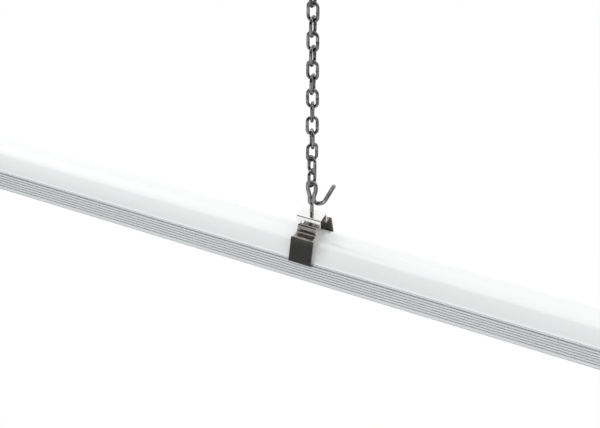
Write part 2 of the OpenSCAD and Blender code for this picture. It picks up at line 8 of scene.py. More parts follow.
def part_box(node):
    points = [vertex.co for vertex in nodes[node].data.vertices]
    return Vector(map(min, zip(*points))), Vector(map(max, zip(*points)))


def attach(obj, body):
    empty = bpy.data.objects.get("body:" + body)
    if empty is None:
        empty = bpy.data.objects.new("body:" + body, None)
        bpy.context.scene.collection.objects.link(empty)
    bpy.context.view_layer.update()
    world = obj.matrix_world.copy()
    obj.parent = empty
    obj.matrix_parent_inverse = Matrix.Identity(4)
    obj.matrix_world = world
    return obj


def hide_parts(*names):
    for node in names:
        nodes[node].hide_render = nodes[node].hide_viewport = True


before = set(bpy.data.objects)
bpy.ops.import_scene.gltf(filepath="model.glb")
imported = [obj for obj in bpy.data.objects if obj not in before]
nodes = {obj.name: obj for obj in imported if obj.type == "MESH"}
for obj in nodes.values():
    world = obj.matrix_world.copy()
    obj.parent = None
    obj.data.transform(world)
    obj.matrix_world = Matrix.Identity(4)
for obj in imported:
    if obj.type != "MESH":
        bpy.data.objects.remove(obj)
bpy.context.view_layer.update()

mm = 0.001
nearly = 0.01 * mm
spare = 1 * mm  # how far a cutter stands past what it cuts
bendRim = 0.12 * mm  # a short flat run beside each bend keeps the flat faces' shading flat
sideNames = ["left", "right"]
sideX = {"left": -0.3, "right": 0.3}  # where the two chains hang
sideTurn = {"left": math.pi, "right": 0.0}  # the light's ends are drawn at +X

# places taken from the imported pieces
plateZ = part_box("hanger_plate_right")[1].z
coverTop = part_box("diffuser_cover")[1].z
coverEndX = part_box("diffuser_cover")[1].x
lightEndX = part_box("end_cap_right")[1].x
print("frame loaded,", len(nodes), "nodes")


# modelling: a piece stays open in edit mode from begin until the next takeUp or begin

def deselectAll():  # and out of edit mode, if a piece is still open
    if bpy.context.mode != "OBJECT":
        bpy.ops.object.mode_set(mode="OBJECT")
    bpy.ops.object.select_all(action="DESELECT")


def takeUp(piece):
    deselectAll()
    piece.select_set(True)
    bpy.context.view_layer.objects.active = piece


def begin(name, primitive, stretch=(1, 1, 1), **size):  # adds a primitive and opens it in edit mode
    deselectAll()
    primitive(**size)
    piece = bpy.context.active_object
    piece.name = piece.data.name = name
    piece.scale = stretch
    bpy.ops.object.transform_apply(location=True, rotation=True, scale=True)
    bpy.ops.object.mode_set(mode="EDIT")
    return piece


def choose(piece, kind, test):  # selects edges or faces by their middle and themselves
    modes = {"edges": "EDGE", "faces": "FACE"}
    bpy.ops.mesh.select_mode(type=modes[kind])
    bpy.ops.mesh.select_all(action="DESELECT")
    mesh = bmesh.from_edit_mesh(piece.data)
    for part in getattr(mesh, kind):
        middle = sum((v.co for v in part.verts), Vector()) / len(part.verts)
        if test(middle, part):
            part.select_set(True)
    mesh.select_flush_mode()
    bmesh.update_edit_mesh(piece.data)


def pull(x, y, z):
    bpy.ops.mesh.extrude_region_move(TRANSFORM_OT_translate={"value": (x, y, z)})


def faceOutward():  # every face of the piece that is open in edit mode
    bpy.ops.mesh.select_all(action="SELECT")
    bpy.ops.mesh.normals_make_consistent(inside=False)


def modify(piece, kind, **settings):  # one modifier, set and applied
    takeUp(piece)
    made = piece.modifiers.new(kind, kind)
    for key, value in settings.items():
        setattr(made, key, value)
    bpy.ops.object.modifier_apply(modifier=made.name)


def cutWith(piece, cutter, operation="DIFFERENCE"):
    modify(piece, "BOOLEAN", object=cutter, operation=operation, solver="EXACT", use_self=True)
    bpy.data.objects.remove(cutter)


def middleAndSize(low, high):
    return [(a + b) / 2 for a, b in zip(low, high)], [b - a for a, b in zip(low, high)]


def blockAt(name, low, high):  # a cube primitive between two corners
    middle, size = middleAndSize(low, high)
    return begin(name, bpy.ops.mesh.primitive_cube_add, stretch=size, size=1, location=middle)


def addBlock(low, high):  # one more cube in the mesh that is open in edit mode
    middle, size = middleAndSize(low, high)
    bpy.ops.mesh.primitive_cube_add(size=1, location=middle)
    bpy.ops.transform.resize(value=size, center_override=middle)


def rodAt(name, radius, fromX, toX, y, z, vertices=64):  # a cylinder primitive along X
    return begin(
        name, bpy.ops.mesh.primitive_cylinder_add, vertices=vertices, radius=radius, depth=toX - fromX,
        rotation=(0, math.pi / 2, 0), location=((fromX + toX) / 2, y, z))


def smoothed(piece, degrees=35):
    takeUp(piece)
    bpy.ops.object.shade_smooth_by_angle(angle=math.radians(degrees))


def softenEdges(piece, width, segments=2, sharpFrom=50, smoothTo=14):  # only the easy bends are smooth
    modify(
        piece, "BEVEL", width=width, segments=segments, limit_method="ANGLE",
        angle_limit=math.radians(sharpFrom))
    smoothed(piece, smoothTo)


def wearFinish(piece, material):
    piece.data.materials.clear()
    piece.data.materials.append(material)


def copyOf(piece, name, move=(0, 0, 0), turn=0.0):  # a copy with its own mesh, its place in the mesh
    copied = piece.copy()
    copied.data = piece.data.copy()
    copied.name = copied.data.name = name
    bpy.context.scene.collection.objects.link(copied)
    takeUp(copied)
    copied.rotation_euler = (0, 0, turn)
    copied.location = move
    bpy.ops.object.transform_apply(location=True, rotation=True, scale=True)
    return copied


def joined(pieces):  # all of them in the mesh of the first
    takeUp(pieces[0])
    for piece in pieces[1:]:
        piece.select_set(True)
    bpy.ops.object.join()
    return pieces[0]


# wire: a round face is pulled and spun in the XZ plane

def startWire(name, radius, foot, sides=24):
    piece = begin(
        name, bpy.ops.mesh.primitive_circle_add,
        vertices=sides, radius=radius, fill_type="NGON", location=foot)
    bpy.ops.mesh.select_all(action="SELECT")
    return piece


def bendWire(centre, degrees, steps):
    bpy.ops.mesh.spin(steps=steps, angle=math.radians(degrees), center=centre, axis=(0, 1, 0))


def swellWire(centre, factor):
    bpy.ops.transform.resize(value=(factor, factor, factor), center_override=centre)


def widenWire(centre, factor):  # where the wire runs along Z
    bpy.ops.transform.resize(value=(factor, factor, 1), center_override=centre)


def rounding(before, corner, after, radius):  # an arc in place of a corner: middle, start, end, turn
    u = (before - corner).normalized()
    v = (after - corner).normalized()
    half = u.angle(v) / 2
    middle = corner + (u + v).normalized() * radius / math.sin(half)
    start = corner + u * radius / math.tan(half)
    end = corner + v * radius / math.tan(half)
    a, b = start - middle, end - middle
    return middle, start, end, math.atan2(a.x * b.y - a.y * b.x, a.dot(b))


def roundedPath(points, radius, steps=8):  # arcs for corners, a short run beside each
    points = [Vector(p) for p in points]
    path = [points[0]]
    for before, corner, after in zip(points, points[1:], points[2:]):
        middle, start, end, turn = rounding(before, corner, after, radius)
        path.append(start + (before - corner).normalized() * bendRim)
        turned = [Matrix.Rotation(turn * i / steps, 2) @ (start - middle) for i in range(steps + 1)]
        path += [middle + spoke for spoke in turned]
        path.append(end + (after - corner).normalized() * bendRim)
    return path + [points[-1]]


def followWire(points, radius, steps=5):  # pulls the wire's end along corners given as (x, z)
    points = [Vector(p) for p in points]
    here = points[0]
    for before, corner, after in zip(points, points[1:], points[2:]):
        middle, start, end, turn = rounding(before, corner, after, radius)
        pull(start.x - here.x, 0, start.y - here.y)
        bendWire((middle.x, 0, middle.y), math.degrees(turn), steps)
        here = end
    pull(points[-1].x - here.x, 0, points[-1].y - here.y)


# finishes: node trees written as expressions of their sockets

class Socket:  # an output socket that works in Python expressions
    def __init__(self, shading, link):
        self.shading = shading
        self.link = link

    def worked(self, operation, *values):
        return self.shading.node(
            "ShaderNodeMath", {"operation": operation}, dict(enumerate(values)))

    def __add__(self, other):
        return self.worked("ADD", self, other)

    def __radd__(self, other):
        return self.worked("ADD", other, self)

    def __sub__(self, other):
        return self.worked("SUBTRACT", self, other)

    def __mul__(self, other):
        return self.worked("MULTIPLY", self, other)


class Shading:  # the node tree of a material or of the world
    def __init__(self, owner):
        owner.use_nodes = True
        self.tree = owner.node_tree

    def found(self, kind):
        return next(n for n in self.tree.nodes if n.type == kind)

    def node(self, kind, settings=None, sockets=None, out=0):
        made = self.tree.nodes.new(kind)
        for key, value in (settings or {}).items():
            if key == "stops":
                ramp = made.color_ramp.elements
                while len(ramp) < len(value):
                    ramp.new(0.5)
                for stop, (position, shade) in zip(ramp, value):
                    stop.position = position
                    stop.color = (shade, shade, shade, 1)
            else:
                setattr(made, key, value)
        for key, value in (sockets or {}).items():
            if isinstance(value, Socket):
                self.tree.links.new(value.link, made.inputs[key])
            else:
                made.inputs[key].default_value = value
        return Socket(self, made.outputs[out])

    def splitByRay(self, lit, seen, share, outputKind):  # camera, glossy and transmission rays get "seen"
        mask = self.node("ShaderNodeLightPath", out="Is Camera Ray")
        rays = mask.link.node.outputs
        for key in ("Is Glossy Ray", "Is Transmission Ray"):
            mask = mask.worked("MAXIMUM", mask, Socket(self, rays[key]))
        either = self.node("ShaderNodeMixShader", {}, {"Fac": mask * share, 1: lit, 2: seen})
        self.tree.links.new(either.link, self.found(outputKind).inputs["Surface"])


class Finish(Shading):  # one material
    def __init__(self, name, **constants):
        self.material = bpy.data.materials.new(name)
        super().__init__(self.material)
        self.shader = self.found("BSDF_PRINCIPLED")
        for key, value in constants.items():
            self.shader.inputs[key.replace("_", " ")].default_value = value
        self.place = self.node("ShaderNodeTexCoord", out="Object")

    def feed(self, **links):
        for key, value in links.items():
            self.tree.links.new(value.link, self.shader.inputs[key.replace("_", " ")])

    def noise(self, scale, stretch=(1, 1, 1), detail=3.0):
        place = self.node("ShaderNodeMapping", {}, {"Vector": self.place, "Scale": stretch})
        sockets = {"Vector": place, "Scale": scale, "Detail": detail}
        return self.node("ShaderNodeTexNoise", {}, sockets, out="Fac")

    def ramp(self, value, stops):
        return self.node("ShaderNodeValToRGB", {"stops": stops}, {"Fac": value})

    def blend(self, mask, first, second):
        sockets = {"Factor": mask, 6: (*first, 1), 7: (*second, 1)}
        return self.node("ShaderNodeMix", {"data_type": "RGBA"}, sockets, out=2)

    def bumped(self, height, strength, distance):
        return self.node(
            "ShaderNodeBump", {}, {"Height": height, "Strength": strength, "Distance": distance})


cloudShare = 0.6  # of a metal's shade; the grain has the rest
metalStops = [(0.35, 0), (0.65, 1)]
plasticStops = [(0.3, 0), (0.7, 1)]


def metalFinish(name, look):
    finish = Finish(name, Metallic=look.get("metallic", 1.0))
    grain = finish.noise(look["grainScale"], look["grainStretch"], detail=4.0)
    clouds = finish.noise(look["cloudScale"], detail=2.0)
    shade = clouds * cloudShare + grain * (1 - cloudShare)
    finish.feed(
        Base_Color=finish.blend(finish.ramp(shade, metalStops), look["dark"], look["light"]),
        Roughness=look["rough"] + (grain - 0.5) * look["roughVaries"],
        Normal=finish.bumped(grain, look["bump"], look["bumpDepth"]))
    return finish.material


def plasticFinish(name, look):
    finish = Finish(
        name, Specular_IOR_Level=look.get("specular", 0.5),
        Coat_Weight=look.get("coat", 0.0), Coat_Roughness=look.get("coatRough", 0.1))
    grain = finish.noise(look["grainScale"], look.get("grainStretch", (1, 1, 1)), detail=2.0)
    clouds = finish.noise(look["cloudScale"], detail=3.0)
    finish.feed(
        Base_Color=finish.blend(finish.ramp(clouds, plasticStops), look["dark"], look["light"]),
        Roughness=look["rough"] + (clouds - 0.5) * look["roughVaries"],
        Normal=finish.bumped(grain, look["bump"], look["bumpDepth"]))
    return finish.material


# camera, lights and stage
view = {  # the shifts and the focal length are in pixels of the photo's frame
    "azimuth": 24.96, "elevation": 37.8, "lens": 84.4, "sensor": 36, "near": 0.01, "distance": 0.887,
    "focal": 1407.0, "rightShift": 11.7, "upShift": 0.4,
    "target": (sideX["right"], 0.0, plateZ)}
azimuth, elevation = math.radians(view["azimuth"]), math.radians(view["elevation"])
right = Vector((math.cos(azimuth), math.sin(azimuth), 0))
ahead = Vector((
    -math.sin(azimuth) * math.cos(elevation),
    math.cos(azimuth) * math.cos(elevation),
    -math.sin(elevation)))
up = right.cross(ahead)
sight = ahead + right * view["rightShift"] / view["focal"] + up * view["upShift"] / view["focal"]
cameraData = bpy.data.cameras.new("camera")
cameraData.lens = view["lens"]
cameraData.sensor_width = view["sensor"]
cameraData.clip_start = view["near"]
camera = bpy.data.objects.new("camera", cameraData)
bpy.context.scene.collection.objects.link(camera)
camera.location = Vector(view["target"]) - sight * view["distance"]
camera.rotation_euler = (math.pi / 2 - elevation, 0, azimuth)
bpy.context.scene.camera = camera
bpy.context.scene.view_settings.view_transform = "Standard"

stage = {  # the cloths stand round the middle, and the lamps point at it
    "middle": (0.3, 0, -0.2),
    "floorZ": -1.3, "floorSize": 60, "floorShade": 0.92, "floorVaries": 0.02, "floorClouds": 3.0,
    "floorRough": 0.9, "floorGlow": 0.975,
    "skyLevel": 0.94, "skyColour": (0.98, 0.99, 1.0, 1),
    "clothShade": 0.12, "clothVaries": 1.3, "clothWeave": 40.0, "clothRadius": 2.6,
    "wallTop": 0.35, "wallLow": -0.87, "wallBack": -0.2,
    "flagFrom": 12, "flagTo": 66, "flagWide": 7.0, "flagStrip": 0.02,
    "underWide": 6.6, "underDeep": 1.5, "underZ": -1.28,
    "keyPlace": (-1.3, 0.35, 1.5), "keySize": 0.6, "keyPower": 9.0,
    "topPlace": (-0.2, 0.6, 1.9), "topSize": 2.0, "topPower": 2.0}


def softbox(name, place, size, power):
    data = bpy.data.lights.new(name, "AREA")
    data.shape = "SQUARE"
    data.size = size
    data.energy = power
    lamp = bpy.data.objects.new(name, data)
    bpy.context.scene.collection.objects.link(lamp)
    lamp.location = place
    lamp.rotation_euler = (Vector(stage["middle"]) - Vector(place)).to_track_quat("-Z", "Y").to_euler()


softbox("keySoftbox", stage["keyPlace"], stage["keySize"], stage["keyPower"])
softbox("topSoftbox", stage["topPlace"], stage["topSize"], stage["topPower"])

world = bpy.data.worlds.new("studio")
bpy.context.scene.world = world
sky = Shading(world)
backdrop = sky.found("BACKGROUND")
backdrop.inputs["Color"].default_value = (1, 1, 1, 1)
skyLight = sky.node(
    "ShaderNodeBackground", {}, {"Color": stage["skyColour"], "Strength": stage["skyLevel"]})
sky.splitByRay(skyLight, Socket(sky, backdrop.outputs[0]), 1.0, "OUTPUT_WORLD")

floorPiece = begin(
    "floor", bpy.ops.mesh.primitive_plane_add, size=stage["floorSize"],
    location=(0, 0, stage["floorZ"]))
floorLook = Finish("paleFloor", Roughness=stage["floorRough"])
speckles = [(stage["floorShade"] + more,) * 3 for more in (0, stage["floorVaries"])]
floorLook.feed(Base_Color=floorLook.blend(floorLook.noise(stage["floorClouds"]), *speckles))
glow = floorLook.node("ShaderNodeEmission", {}, {"Strength": 1.0})
floorLook.splitByRay(
    Socket(floorLook, floorLook.shader.outputs[0]), glow, stage["floorGlow"], "OUTPUT_MATERIAL")
wearFinish(floorPiece, floorLook.material)

# dark cloths, which only the metal and the gloss reflect
clothLook = Finish("studioClothDark", Roughness=1.0, Specular_IOR_Level=0.0)
clothShades = [(stage["clothShade"] * times,) * 3 for times in (1, stage["clothVaries"])]
clothLook.feed(Base_Color=clothLook.blend(clothLook.noise(stage["clothWeave"]), *clothShades))


def hangCloth(piece):
    smoothed(piece)
    wearFinish(piece, clothLook.material)
    piece.visible_camera = False
    piece.visible_diffuse = False
    piece.visible_transmission = False
    return piece


# the wall stands in front only
middleX, middleY, middleZ = stage["middle"]
wallCloth = begin(
    "studioWall", bpy.ops.mesh.primitive_cylinder_add, vertices=96, radius=stage["clothRadius"],
    depth=stage["wallTop"] - stage["wallLow"], end_fill_type="NOTHING",
    location=(middleX, middleY, (stage["wallTop"] + stage["wallLow"]) / 2))
choose(wallCloth, "faces", lambda p, f: p.y > stage["wallBack"])
bpy.ops.mesh.delete(type="FACE")
hangCloth(wallCloth)

# the flag is a strip that is spun over the front, from one elevation to another
flagLow, flagHigh = math.radians(stage["flagFrom"]), math.radians(stage["flagTo"])
flagY = middleY - stage["clothRadius"] * math.cos(flagLow)
flagZ = middleZ + stage["clothRadius"] * math.sin(flagLow)
flagCloth = begin(
    "studioFlag", bpy.ops.mesh.primitive_plane_add, stretch=(stage["flagWide"], stage["flagStrip"], 1),
    size=1, location=(middleX, flagY, flagZ))
choose(flagCloth, "edges", lambda p, e: p.y > flagY + stage["flagStrip"] / 4)
bpy.ops.mesh.spin(steps=16, angle=flagHigh - flagLow, center=stage["middle"], axis=(1, 0, 0))
hangCloth(flagCloth)
flagCloth.visible_shadow = False

underCloth = hangCloth(begin(
    "studioUnder", bpy.ops.mesh.primitive_plane_add, size=1,
    stretch=(stage["underWide"], stage["underDeep"], 1), location=(middleX, middleY, stage["underZ"])))
print("camera, lights and stage set")


# opal cover
coverLook = {
    "light": (0.90, 0.90, 0.897), "dark": (0.888, 0.888, 0.884),
    "grainScale": 900.0, "grainStretch": (0.03, 1, 1), "cloudScale": 12.0,
    "rough": 0.20, "roughVaries": 0.04, "bump": 0.05, "bumpDepth": 0.00004,
    "specular": 0.9, "coat": 1.0, "coatRough": 0.08,
    "radius": 15 * mm, "wall": 1.2 * mm, "cutHigh": 1.9 * mm, "edge": 0.15 * mm, "sides": 192}
opalFinish = plasticFinish("opalCover", coverLook)


def modelCover():
    look = coverLook
    centreZ = coverTop - look["radius"]
    piece = begin(
        "opalCover", bpy.ops.mesh.primitive_circle_add, vertices=look["sides"],
        radius=look["radius"], location=(-coverEndX, 0, centreZ), rotation=(0, math.pi / 2, 0))
    bpy.ops.mesh.select_all(action="SELECT")
    bpy.ops.mesh.bisect(
        plane_co=(0, 0, centreZ + look["cutHigh"]), plane_no=(0, 0, 1), clear_inner=True)
    choose(piece, "edges", lambda p, e: True)
    pull(2 * coverEndX, 0, 0)
    faceOutward()

    # the wall grows inwards, whichever way the skin faces at the top
    choose(piece, "faces", lambda p, f: abs(p.y) < 1 * mm)
    skin = bmesh.from_edit_mesh(piece.data)
    upward = any(f.select and f.normal.z > 0 for f in skin.faces)
    modify(piece, "SOLIDIFY", thickness=look["wall"], offset=-1 if upward else 1)
    bpy.ops.object.mode_set(mode="EDIT")
    faceOutward()
    softenEdges(piece, look["edge"])
    wearFinish(piece, opalFinish)
    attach(piece, "light")
    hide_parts("diffuser_cover")


modelCover()
print("opal cover modelled")


# spring clip
clipLook = {
    "light": (0.36, 0.35, 0.335), "dark": (0.29, 0.28, 0.27),
    "grainScale": 1400.0, "grainStretch": (1, 0.12, 0.12), "cloudScale": 160.0,
    "rough": 0.20, "roughVaries": 0.12, "bump": 0.25, "bumpDepth": 0.00003,
    "sheet": 0.8 * mm, "bendRadius": 1.3 * mm,
    "neckHalf": 7.0 * mm, "neckDown": 5.0 * mm, "neckWide": 7.4 * mm, "webOut": 8.0 * mm,
    "shoulderStart": 5.6 * mm, "shoulderOut": 14.2 * mm, "shoulderDown": 10.4 * mm,
    "shoulderWide": 12.9 * mm, "shoulderRound": 2.4 * mm,
    "legWide": 15.4 * mm, "legOut": 18.6 * mm, "legDown": 27.2 * mm,
    "footOut": 15.9 * mm, "footIn": 14.2 * mm, "footDown": 29.4 * mm,
    "slotOut": 12.3 * mm, "slotHigh": 1.2 * mm, "slotLong": 5.5 * mm, "slotSide": 2.6 * mm,
    "holeRadius": 1.4 * mm, "edge": 0.14 * mm}
clipFinish = metalFinish("clipSpringSteel", clipLook)


def modelClip():
    look = clipLook
    wide = look["legWide"] / 2
    corners = [  # half of the strip's outline, as Y and Z
        (look["neckHalf"] / 2, -look["neckDown"]), (look["neckHalf"], -look["neckDown"]),
        (look["webOut"], -look["shoulderDown"]), (look["shoulderOut"], -look["shoulderDown"]),
        (look["legOut"], -look["legDown"]), (look["footOut"], -look["footDown"]),
        (look["footIn"], -look["footDown"])]
    path = roundedPath(corners, look["bendRadius"])
    piece = begin(
        "clipStrip", bpy.ops.mesh.primitive_plane_add, stretch=(2 * wide, 2 * corners[0][0], 1),
        size=1, location=(0, 0, corners[0][1]))
    for side in (-1, 1):
        choose(piece, "edges", lambda p, e: p.y * side > corners[0][0] - nearly)
        for here, there in zip(path, path[1:]):
            pull(0, side * (there.x - here.x), there.y - here.y)
    modify(piece, "SOLIDIFY", thickness=look["sheet"], offset=-1, use_even_offset=True)

    # plan of the blank: neck, two shoulders and two legs
    deep = -look["footDown"] - spare
    plan = blockAt(
        "clipPlan", (-look["shoulderWide"] / 2, look["shoulderStart"], deep),
        (look["shoulderWide"] / 2, look["shoulderOut"], 0))
    choose(plan, "edges", lambda p, e: abs(e.verts[0].co.z - e.verts[1].co.z) > nearly
           and p.y < look["shoulderStart"] + nearly)
    bpy.ops.mesh.bevel(offset=look["shoulderRound"], segments=6, affect="EDGES")
    bpy.ops.mesh.select_all(action="SELECT")
    bpy.ops.mesh.duplicate_move()
    bpy.ops.transform.resize(value=(1, -1, 1), center_override=(0, 0, 0))
    bpy.ops.mesh.flip_normals()
    addBlock(
        (-look["neckWide"] / 2, -look["shoulderOut"], deep),
        (look["neckWide"] / 2, look["shoulderOut"], 0))
    for side in (-1, 1):
        ends = sorted((
            side * (look["shoulderOut"] - look["sheet"] / 2), side * (look["legOut"] + 2 * spare)))
        addBlock((-wide, ends[0], deep), (wide, ends[1], 0))
    cutWith(piece, plan, "INTERSECT")

    # slots over the legs and the hole for the hook's shank
    tools = begin("clipCuts", bpy.ops.mesh.primitive_cylinder_add, vertices=48,
                  radius=look["holeRadius"], depth=4 * spare, location=(0, 0, -look["neckDown"]))
    for side in (-1, 1):
        x = -side * look["slotSide"]
        y = side * look["slotOut"]
        addBlock((x - look["slotLong"] / 2, y - look["slotHigh"] / 2, deep / 2),
                 (x + look["slotLong"] / 2, y + look["slotHigh"] / 2, 0))
    cutWith(piece, tools)
    softenEdges(piece, look["edge"])
    wearFinish(piece, clipFinish)
    for side in sideNames:
        made = copyOf(piece, "springClip." + side, (sideX[side], 0, plateZ))
        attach(made, "clip_" + side)
        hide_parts("spring_clip_" + side)
    bpy.data.objects.remove(piece)


modelClip()
print("spring clips modelled")


# hanger plate
plateLook = {
    "light": (0.96, 0.955, 0.945), "dark": (0.88, 0.875, 0.865),
    "grainScale": 1200.0, "grainStretch": (0.15, 1, 1), "cloudScale": 200.0,
    "rough": 0.16, "roughVaries": 0.12, "bump": 0.15, "bumpDepth": 0.00002,
    "long": 16.2 * mm, "wide": 10.2 * mm, "sheet": 0.8 * mm, "bend": 0.9 * mm,
    "lipDown": 6.2 * mm, "bandDown": 3.2 * mm, "windowLong": 10.0 * mm, "holeRadius": 1.4 * mm,
    "edge": 0.14 * mm}
plateFinish = metalFinish("plateBrightSteel", plateLook)


def modelPlate():
    look = plateLook
    flat = look["wide"] / 2 - look["bend"]
    piece = begin(
        "plateBlank", bpy.ops.mesh.primitive_plane_add, size=1,
        stretch=(look["long"], 2 * (flat - bendRim), 1))
    for side in (-1, 1):
        choose(piece, "edges", lambda p, e: p.y * side > flat - bendRim - nearly)
        pull(0, side * bendRim, 0)
        bpy.ops.mesh.spin(
            steps=9, angle=side * math.pi / 2, center=(0, side * flat, -look["bend"]), axis=(1, 0, 0))
        pull(0, 0, -bendRim)
        pull(0, 0, look["bend"] + bendRim - look["lipDown"])
    modify(piece, "SOLIDIFY", thickness=look["sheet"], offset=-1, use_even_offset=True)
    tools = begin("plateCuts", bpy.ops.mesh.primitive_cylinder_add, vertices=48,
                  radius=look["holeRadius"], depth=4 * spare)
    addBlock((-look["windowLong"] / 2, -look["wide"], -2 * look["lipDown"]),
             (look["windowLong"] / 2, look["wide"], -look["bandDown"]))
    cutWith(piece, tools)
    softenEdges(piece, look["edge"])
    wearFinish(piece, plateFinish)
    for side in sideNames:
        made = copyOf(piece, "hangerPlate." + side, (sideX[side], 0, plateZ))
        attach(made, "clip_" + side)
        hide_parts("hanger_plate_" + side)
    bpy.data.objects.remove(piece)


modelPlate()
print("hanger plates modelled")


# spacer collar
collarLook = {
    "light": (0.62, 0.61, 0.59), "dark": (0.50, 0.49, 0.47),
    "grainScale": 900.0, "grainStretch": (0.2, 0.2, 2.0), "cloudScale": 200.0,
    "rough": 0.26, "roughVaries": 0.1, "bump": 0.2, "bumpDepth": 0.00002,
    "radius": 2.8 * mm, "bore": 1.4 * mm, "high": 4.2 * mm, "under": 0.8 * mm,
    "edge": 0.2 * mm}
collarFinish = metalFinish("collarTurnedSteel", collarLook)


def modelCollar():
    look = collarLook
    piece = begin(
        "collarBlank", bpy.ops.mesh.primitive_cylinder_add, vertices=64, radius=look["radius"],
        depth=look["high"], location=(0, 0, -look["under"] - look["high"] / 2))
    choose(piece, "faces", lambda p, f: abs(f.normal.z) > 0.9)
    bpy.ops.mesh.inset(thickness=look["radius"] - look["bore"])
    bpy.ops.mesh.delete(type="FACE")
    choose(piece, "edges", lambda p, e: e.is_boundary)
    bpy.ops.mesh.bridge_edge_loops()
    softenEdges(piece, look["edge"], segments=3)
    wearFinish(piece, collarFinish)
    for side in sideNames:
        made = copyOf(piece, "spacerCollar." + side, (sideX[side], 0, plateZ))
        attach(made, "clip_" + side)
        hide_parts("spacer_collar_" + side)
    bpy.data.objects.remove(piece)


modelCollar()
print("spacer collars modelled")


# swivel hook
hookLook = {
    "light": (0.44, 0.44, 0.45), "dark": (0.14, 0.14, 0.145),
    "grainScale": 500.0, "grainStretch": (1, 1, 0.25), "cloudScale": 260.0,
    "rough": 0.22, "roughVaries": 0.16, "bump": 0.3, "bumpDepth": 0.00004,
    "wire": 1.35 * mm, "shankHigh": 6.8 * mm, "waistSide": 1.42 * mm, "waistLow": 9.4 * mm,
    "waistTop": 13.8 * mm, "eyeSide": 2.7 * mm, "eyeLow": 18.8 * mm, "eyeTop": 26.0 * mm,
    "eyeBend": 2.4 * mm, "turnHigh": 11.6 * mm, "turnRadius": 2.2 * mm, "slopeLow": 10,
    "curveRadius": 7.0 * mm, "slopeHigh": 66, "tailLong": 14.2 * mm,
    "tipRound": 0.25 * mm, "tipShare": 0.82, "headRadius": 2.7 * mm, "headHigh": 1.3 * mm,
    "headTop": -6.0 * mm, "headFoot": 0.82, "headFootHigh": 0.39 * mm, "headCrown": 0.94}
hookFinish = metalFinish("hookWireSteel", hookLook)


def modelHook():
    look = hookLook
    side, waist = look["eyeSide"], look["waistSide"]
    archHigh = look["eyeTop"] - look["wire"] - side
    headLow = look["headTop"] - look["headHigh"]
    piece = startWire("hookBlank", look["headRadius"] * look["headFoot"], (0, 0, headLow))
    pull(0, 0, look["headFootHigh"])
    widenWire((0, 0, 0), 1 / look["headFoot"])
    pull(0, 0, look["headHigh"] - look["headFootHigh"])
    widenWire((0, 0, 0), look["headCrown"])
    bpy.ops.mesh.inset(thickness=look["headRadius"] * look["headCrown"] - look["wire"])
    followWire([
        (0, look["headTop"]), (0, look["shankHigh"]), (-waist, look["waistLow"]),
        (-waist, look["waistTop"]), (-side, look["eyeLow"]), (-side, archHigh)], look["eyeBend"])
    bendWire((0, 0, archHigh), -180, 20)
    followWire([
        (side, archHigh), (side, look["eyeLow"]), (waist, look["waistTop"]),
        (waist, look["turnHigh"])], look["eyeBend"])
    bendWire((waist + look["turnRadius"], 0, look["turnHigh"]), 90 + look["slopeLow"], 14)
    low, high = math.radians(look["slopeLow"]), math.radians(look["slopeHigh"])
    turnEnd = Vector((
        waist + look["turnRadius"] * (1 + math.sin(low)), 0,
        look["turnHigh"] - look["turnRadius"] * math.cos(low)))
    curve = look["curveRadius"]
    curveMiddle = turnEnd + curve * Vector((-math.sin(low), 0, math.cos(low)))
    bendWire(curveMiddle, look["slopeHigh"] - look["slopeLow"], 10)
    along = Vector((math.cos(high), 0, math.sin(high)))
    pull(*(along * (look["tailLong"] - look["tipRound"])))
    pull(*(along * look["tipRound"]))
    curveEnd = curveMiddle + curve * Vector((math.sin(high), 0, -math.cos(high)))
    swellWire(curveEnd + along * look["tailLong"], look["tipShare"])
    faceOutward()
    smoothed(piece, 40)
    wearFinish(piece, hookFinish)
    for name in sideNames:
        made = copyOf(piece, "swivelHook." + name, (sideX[name], 0, plateZ))
        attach(made, "hook_" + name)
        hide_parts("swivel_hook_" + name)
    bpy.data.objects.remove(piece)


modelHook()
print("swivel hooks modelled")


# chain
chainLook = {
    "light": (0.36, 0.36, 0.37), "dark": (0.07, 0.07, 0.073),
    "grainScale": 420.0, "grainStretch": (1, 1, 1), "cloudScale": 330.0,
    "rough": 0.24, "roughVaries": 0.2, "bump": 0.5, "bumpDepth": 0.00005,
    "links": 14, "wire": 1.0 * mm, "side": 3.0 * mm, "straight": 3.0 * mm,
    "twist": 78,
    "weld": [  # heights along a straight side, and the wire's thickness there
        (-0.75 * mm, 1.0), (-0.45 * mm, 0.93), (-0.2 * mm, 1.13),
        (0.2 * mm, 1.13), (0.45 * mm, 0.93), (0.75 * mm, 1.0)]}
chainFinish = metalFinish("chainDarkSteel", chainLook)


def makeLink():
    look = chainLook
    side, straight = look["side"], look["straight"]
    piece = startWire("linkBlank", look["wire"], (side, 0, -straight), 20)
    before, size = -straight, 1.0
    for high, swell in look["weld"]:
        pull(0, 0, high - before)
        swellWire((side, 0, high), swell / size)
        before, size = high, swell
    pull(0, 0, straight - before)
    bendWire((0, 0, straight), 180, 18)
    pull(0, 0, -2 * straight)
    bendWire((0, 0, -straight), 180, 18)

    # the wire's two ends are opened and merged
    choose(piece, "faces", lambda p, f: len(f.verts) > 4)
    bpy.ops.mesh.delete(type="FACE")
    bpy.ops.mesh.select_all(action="SELECT")
    bpy.ops.mesh.remove_doubles(threshold=nearly)
    faceOutward()
    smoothed(piece, 180)
    wearFinish(piece, chainFinish)
    return piece


